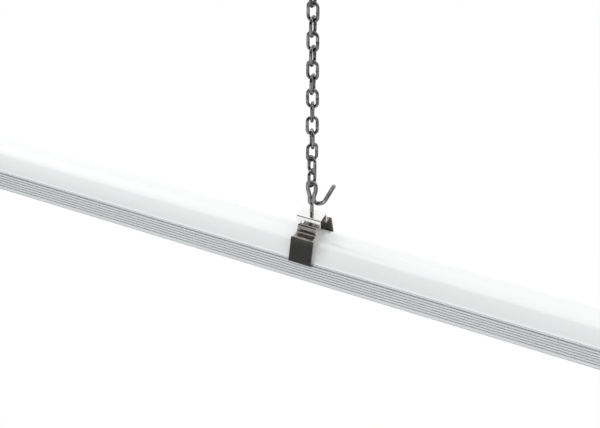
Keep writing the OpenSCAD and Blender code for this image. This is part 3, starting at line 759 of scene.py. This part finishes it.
def hangChains():
    look = chainLook
    blank = makeLink()
    for side in sideNames:
        for k in range(1, look["links"] + 1):
            node = "link_%s_%d" % (side, k)
            low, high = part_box(node)
            fade = ((look["links"] - k) / (look["links"] - 1)) ** 3
            yaw = (0 if k % 2 else 90) + look["twist"] * fade
            made = copyOf(
                blank, "chainLink.%s.%02d" % (side, k),
                (sideX[side], 0, (low.z + high.z) / 2), math.radians(yaw))
            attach(made, "top_link_" + side if k == look["links"] else "chain_" + side)
            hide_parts(node)
    bpy.data.objects.remove(blank)


hangChains()
print("chains hung")


# ceiling hooks
ceilingLook = {
    "light": (0.66, 0.66, 0.66), "dark": (0.48, 0.48, 0.49),
    "grainScale": 400.0, "grainStretch": (1, 1, 1), "cloudScale": 220.0,
    "rough": 0.28, "roughVaries": 0.18, "bump": 0.35, "bumpDepth": 0.00004,
    "wire": 1.5 * mm, "loop": 7.5 * mm, "neckLong": 6.0 * mm, "tipLong": 3.0 * mm,
    "collarRadius": 4.5 * mm, "collarHigh": 1.5 * mm, "screwRadius": 1.9 * mm,
    "screwLong": 18.0 * mm, "coreShare": 0.74, "pointLong": 3.0 * mm, "pointShare": 0.2,
    "edge": 0.3 * mm, "threadPitch": 1.6 * mm, "threadStart": 1.2 * mm, "threadRest": 2.0 * mm,
    "ridge": 0.42 * mm, "ridgeOut": 0.1 * mm, "tipAngles": (30, 55, 75)}
ceilingFinish = metalFinish("ceilingHookZinc", ceilingLook)


def makeCeilingHook():
    look = ceilingLook
    loop = look["loop"]
    neckLow = -look["collarHigh"] - look["neckLong"]
    loopZ = neckLow - loop
    core = look["screwRadius"] * look["coreShare"]
    point = core * look["pointShare"]
    edge = look["edge"]
    piece = startWire("ceilingBlank", point, (0, 0, look["screwLong"]))
    rings = [  # height and radius, from the point down to the neck
        (look["screwLong"] - look["pointLong"], core), (0.0, core),
        (0.0, look["collarRadius"]), (-look["collarHigh"] + edge, look["collarRadius"]),
        (-look["collarHigh"], look["collarRadius"] - edge), (-look["collarHigh"], look["wire"])]
    before, size = look["screwLong"], point
    for high, radius in rings:
        pull(0, 0, high - before)
        widenWire((0, 0, high), radius / size)
        before, size = high, radius
    pull(0, 0, -look["neckLong"])
    bendWire((-loop / 2, 0, neckLow), -90, 8)
    bendWire((-loop / 2, 0, loopZ), 90, 8)
    bendWire((0, 0, loopZ), 180, 24)
    pull(0, 0, look["tipLong"])
    tip = Vector((loop, 0, loopZ + look["tipLong"]))
    before, size = 0.0, 1.0
    for angle in map(math.radians, look["tipAngles"]):
        high = look["wire"] * math.sin(angle)
        pull(0, 0, high - before)
        widenWire(tip, math.cos(angle) / size)
        before, size = high, math.cos(angle)
    faceOutward()
    smoothed(piece, 40)

    # the thread is a small ridge wound up the core
    ridge = begin(
        "threadRidge", bpy.ops.mesh.primitive_circle_add, vertices=3, radius=look["ridge"],
        location=(core + look["ridgeOut"], 0, look["threadStart"]), rotation=(math.pi / 2, 0, 0))
    threadLong = look["screwLong"] - look["pointLong"] - look["threadRest"]
    turns = int(threadLong / look["threadPitch"])
    modify(ridge, "SCREW", screw_offset=look["threadPitch"], iterations=turns, steps=24,
           render_steps=24, axis="Z", use_merge_vertices=False)
    smoothed(ridge, 60)
    wearFinish(joined([piece, ridge]), ceilingFinish)
    for side in sideNames:
        made = copyOf(piece, "ceilingHook." + side, (sideX[side], 0, 0))
        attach(made, "ceiling_hooks")
        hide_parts("ceiling_hook_" + side)
    bpy.data.objects.remove(piece)


makeCeilingHook()
print("ceiling hooks modelled")


# base and what is inside the light: the CAD pieces with their finishes
baseLook = {
    "light": (0.81, 0.82, 0.83), "dark": (0.77, 0.78, 0.79),
    "grainScale": 900.0, "grainStretch": (0.006, 1, 1), "cloudScale": 9.0,
    "rough": 0.40, "roughVaries": 0.08, "bump": 0.08, "bumpDepth": 0.00002,
    "metallic": 0.5}
wearFinish(nodes["base_extrusion"], metalFinish("baseAluminium", baseLook))

insideShared = {
    "roughVaries": 0.1, "grainScale": 700.0, "cloudScale": 150.0, "bump": 0.15, "bumpDepth": 0.00004}
insideLooks = {  # a name, the light and the dark shade, and the roughness
    "led_board": ("boardWhite", (0.90, 0.91, 0.89), (0.86, 0.87, 0.85), 0.35),
    "led_emitters": ("emitterYellow", (0.95, 0.86, 0.45), (0.90, 0.78, 0.32), 0.2),
    "driver_tray": ("trayNatural", (0.90, 0.90, 0.86), (0.86, 0.86, 0.81), 0.5),
    "driver_board": ("boardGreen", (0.08, 0.30, 0.15), (0.05, 0.22, 0.11), 0.3),
    "driver_transformer": ("ferriteDark", (0.12, 0.11, 0.11), (0.07, 0.065, 0.06), 0.5),
    "driver_capacitors": ("sleeveDark", (0.06, 0.07, 0.10), (0.04, 0.045, 0.07), 0.3),
    "driver_choke": ("chokeEnamel", (0.45, 0.20, 0.09), (0.30, 0.12, 0.05), 0.3),
    "driver_terminals": ("terminalPale", (0.85, 0.85, 0.82), (0.80, 0.80, 0.77), 0.4),
    "input_leads": ("leadSleeve", (0.70, 0.69, 0.65), (0.62, 0.61, 0.57), 0.5),
    "output_leads": ("leadSleeve", (0.70, 0.69, 0.65), (0.62, 0.61, 0.57), 0.5),
    "inlet_housing": ("inletMoulded", (0.82, 0.82, 0.81), (0.77, 0.77, 0.76), 0.45)}
for node, (name, light, dark, rough) in insideLooks.items():
    look = {"light": light, "dark": dark, "rough": rough, **insideShared}
    wearFinish(nodes[node], plasticFinish(name, look))

contactLook = {
    "light": (0.82, 0.62, 0.30), "dark": (0.70, 0.50, 0.22), "rough": 0.22, "roughVaries": 0.1,
    "grainScale": 900.0, "grainStretch": (0.2, 1, 1), "cloudScale": 300.0,
    "bump": 0.15, "bumpDepth": 0.00002}
wearFinish(nodes["inlet_contacts"], metalFinish("contactBrass", contactLook))
print("carried-over pieces finished")


# end caps
capLook = {
    "radius": 15.4 * mm, "thick": 5.0 * mm, "cornerRadius": 2.0 * mm,
    "plugRadius": 13.7 * mm, "plugWall": 1.2 * mm, "plugLow": 3.2 * mm, "plugLap": 0.5 * mm,
    "belowHalf": 20.0 * mm, "boreRadius": 1.6 * mm, "seatRadius": 2.7 * mm, "seatDeep": 1.8 * mm,
    "screwHead": 2.5 * mm, "inletPlay": 0.1 * mm, "edge": 0.4 * mm,
    "light": (0.86, 0.86, 0.855), "dark": (0.82, 0.82, 0.815), "rough": 0.42, "roughVaries": 0.08,
    "grainScale": 1500.0, "cloudScale": 60.0, "bump": 0.3, "bumpDepth": 0.00003}
capFinish = plasticFinish("capMoulded", capLook)
capInnerX = lightEndX - capLook["thick"]
screwLow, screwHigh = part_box("cap_screws_right")
screwZ = (screwLow.z + screwHigh.z) / 2
screwY = screwHigh.y - capLook["screwHead"]


def modelCap():
    look = capLook
    low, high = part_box("end_cap_right")
    centreZ = high.z - look["radius"]
    middleX = (capInnerX + lightEndX) / 2
    piece = rodAt("capBlank", look["radius"], capInnerX, lightEndX, 0, centreZ, vertices=128)
    foot = blockAt("capFoot", (capInnerX, low.y, low.z), (lightEndX, high.y, centreZ))
    choose(foot, "edges", lambda p, e: abs(p.x - middleX) < nearly and p.z < (low.z + centreZ) / 2)
    bpy.ops.mesh.bevel(offset=look["cornerRadius"], segments=8, affect="EDGES")
    cutWith(piece, foot, "UNION")

    # the plug that holds the cover
    plugRadius = look["plugRadius"]
    plug = rodAt("capPlug", plugRadius, low.x, capInnerX + look["plugLap"], 0, centreZ)
    hollow = rodAt("capHollow", plugRadius - look["plugWall"], low.x - spare, capInnerX, 0, centreZ)
    cutWith(plug, hollow)
    half = look["belowHalf"]
    below = blockAt(
        "capBelow", (low.x - spare, -half, centreZ - half), (capInnerX, half, centreZ + look["plugLow"]))
    cutWith(plug, below)
    cutWith(piece, plug, "UNION")

    # bores and seats for the screws
    seatX = lightEndX - look["seatDeep"]
    for y in (-screwY, screwY):
        bore = rodAt("capBore", look["boreRadius"], capInnerX - spare, lightEndX + spare, y, screwZ)
        cutWith(piece, bore)
        seat = rodAt("capSeat", look["seatRadius"], seatX, lightEndX + spare, y, screwZ)
        cutWith(piece, seat)
    return piece


def modelCaps():
    look = capLook
    piece = modelCap()
    inletLow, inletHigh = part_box("inlet_housing")
    play = look["inletPlay"]
    for side in sideNames:
        made = copyOf(piece, "endCap." + side, turn=sideTurn[side])
        if side == "left":
            hole = blockAt(
                "inletHole", (-lightEndX - spare, inletLow.y - play, inletLow.z - play),
                (-capInnerX + spare, inletHigh.y + play, inletHigh.z + play))
            cutWith(made, hole)
        softenEdges(made, look["edge"], segments=3)
        wearFinish(made, capFinish)
        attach(made, "light")
        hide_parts("end_cap_" + side)
    bpy.data.objects.remove(piece)


modelCaps()
print("end caps modelled")


# the end caps' screws
screwLook = {
    "headRadius": capLook["screwHead"], "headHigh": 1.8 * mm, "shankRadius": 1.4 * mm,
    "long": 14.0 * mm,
    "crossWide": 0.75 * mm, "crossLong": 3.0 * mm, "crossDeep": 1.1 * mm, "edge": 0.35 * mm,
    "light": (0.66, 0.67, 0.68), "dark": (0.52, 0.53, 0.55), "rough": 0.3, "roughVaries": 0.1,
    "grainScale": 900.0, "grainStretch": (0.2, 1, 1), "cloudScale": 260.0,
    "bump": 0.2, "bumpDepth": 0.00003}
screwFinish = metalFinish("screwZinc", screwLook)


def modelScrew():
    look = screwLook
    headX = lightEndX - look["headHigh"]
    piece = rodAt("screwBlank", look["headRadius"], headX, lightEndX, 0, screwZ)
    choose(piece, "faces", lambda p, f: f.normal.x < -0.9)
    bpy.ops.mesh.inset(thickness=look["headRadius"] - look["shankRadius"])
    pull(-look["long"], 0, 0)
    choose(piece, "edges", lambda p, e: abs(p.x - lightEndX) < nearly)
    bpy.ops.mesh.bevel(offset=look["edge"], segments=5, affect="EDGES")
    crossX = lightEndX - look["crossDeep"]
    cross = (look["crossWide"] / 2, look["crossLong"] / 2)
    for wide, high in (cross, reversed(cross)):
        slot = blockAt(
            "screwSlot", (crossX, -wide, screwZ - high), (lightEndX + spare, wide, screwZ + high))
        cutWith(piece, slot)
    smoothed(piece, 30)
    return piece


def setScrews():
    piece = modelScrew()
    for side in sideNames:
        name = "capScrews." + side
        made = joined([copyOf(piece, name, (0, y, 0), sideTurn[side]) for y in (-screwY, screwY)])
        wearFinish(made, screwFinish)
        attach(made, "light")
        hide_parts("cap_screws_" + side)
    bpy.data.objects.remove(piece)


setScrews()
print("cap screws set")
